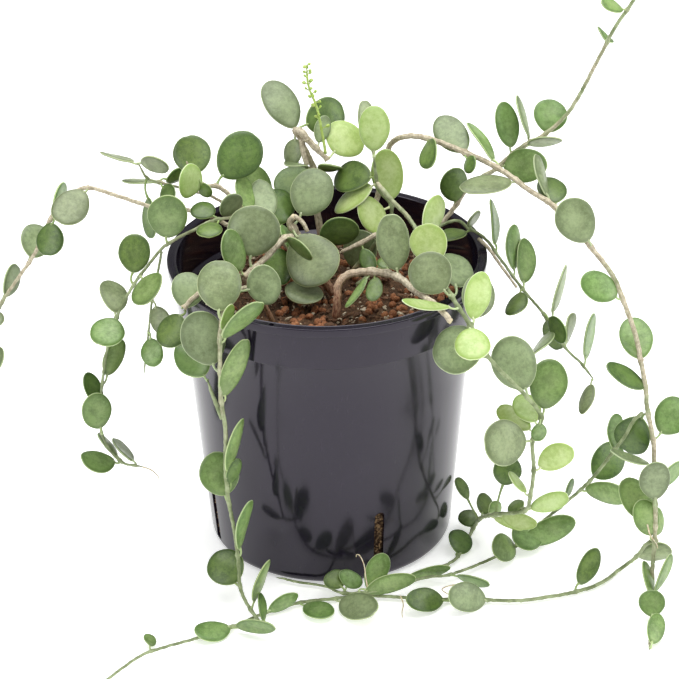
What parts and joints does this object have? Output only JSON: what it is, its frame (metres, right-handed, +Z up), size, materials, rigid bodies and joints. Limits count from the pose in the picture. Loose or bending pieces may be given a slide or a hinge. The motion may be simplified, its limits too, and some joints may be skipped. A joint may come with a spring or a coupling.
{
  "type": "potted trailing vine",
  "caption": "Trailing vine with thick round leaves, rooted in bark soil in a round black nursery pot; its stems arch over the rim, hang down and lie along the surface around it.",
  "frame": {"origin": "middle of the pot's flat underside, on the surface that the pot stands on", "axes": "+Z up along the pot's axis, -Y towards the front, +X towards the side where the longest stems trail down"},
  "size_m": [0.4544, 0.3391, 0.3621],
  "materials": {
    "pot": "glossy moulded black plastic",
    "soil": "matt bark mix with clay and pale grit",
    "stem": "ridged tan and grey-green stems",
    "leaf_old": "waxy grey-green, finely mottled",
    "leaf_mid": "waxy mid green",
    "leaf_deep": "waxy deep green",
    "leaf_lime": "young translucent lime green"
  },
  "bodies": {
    "root": {"leaf_front_left_1": "leaf_old", "leaf_front_left_11": "leaf_deep", "leaf_front_left_2": "leaf_old", "leaf_front_left_5": "leaf_old", "leaf_front_left_7": "leaf_mid", "leaf_left_branch_2": "leaf_old", "leaf_left_drop_1": "leaf_mid", "leaf_left_drop_5": "leaf_mid", "leaf_left_upper_1": "leaf_deep", "leaf_left_upper_4": "leaf_deep", "leaf_left_upper_5": "leaf_mid", "leaf_lime_stem_4": "leaf_lime", "leaf_lime_stem_7": "leaf_old", "leaf_right_long_10": "leaf_old", "leaf_right_long_11": "leaf_mid", "leaf_right_long_15": "leaf_old", "leaf_right_long_2": "leaf_lime", "leaf_right_long_4": "leaf_old", "leaf_right_long_5": "leaf_old", "leaf_right_long_9": "leaf_old", "leaf_right_sweep_12": "leaf_mid", "leaf_right_sweep_13": "leaf_deep", "leaf_right_sweep_8": "leaf_old", "leaf_top_arm_1": "leaf_lime", "leaf_trunk_middle_1": "leaf_old", "leaf_trunk_middle_2": "leaf_old", "leaf_trunk_middle_4": "leaf_old", "leaf_trunk_middle_5": "leaf_deep", "leaf_trunk_middle_6": "leaf_deep", "leaf_trunk_top_1": "leaf_old", "leaf_trunk_top_2": "leaf_deep", "leaf_trunk_top_5": "leaf_mid", "pot": "pot", "soil": "soil", "vine_floor_run": "stem", "vine_flower_spike": "stem", "vine_front_left": "stem", "vine_front_shoot": "stem", "vine_front_stub": "stem", "vine_inner_stub": "stem", "vine_left_back": "stem", "vine_left_branch": "stem", "vine_left_drop": "stem", "vine_left_high": "stem", "vine_left_middle": "stem", "vine_left_thread": "stem", "vine_left_upper": "stem", "vine_lime_stem": "stem", "vine_right_arch": "stem", "vine_right_back": "stem", "vine_right_long": "stem", "vine_right_mid": "stem", "vine_right_pale": "stem", "vine_right_sweep": "stem", "vine_sweep_branch": "stem", "vine_top_arm": "stem", "vine_trunk_middle": "stem", "vine_trunk_top": "stem"}
  },
  "joints": []
}
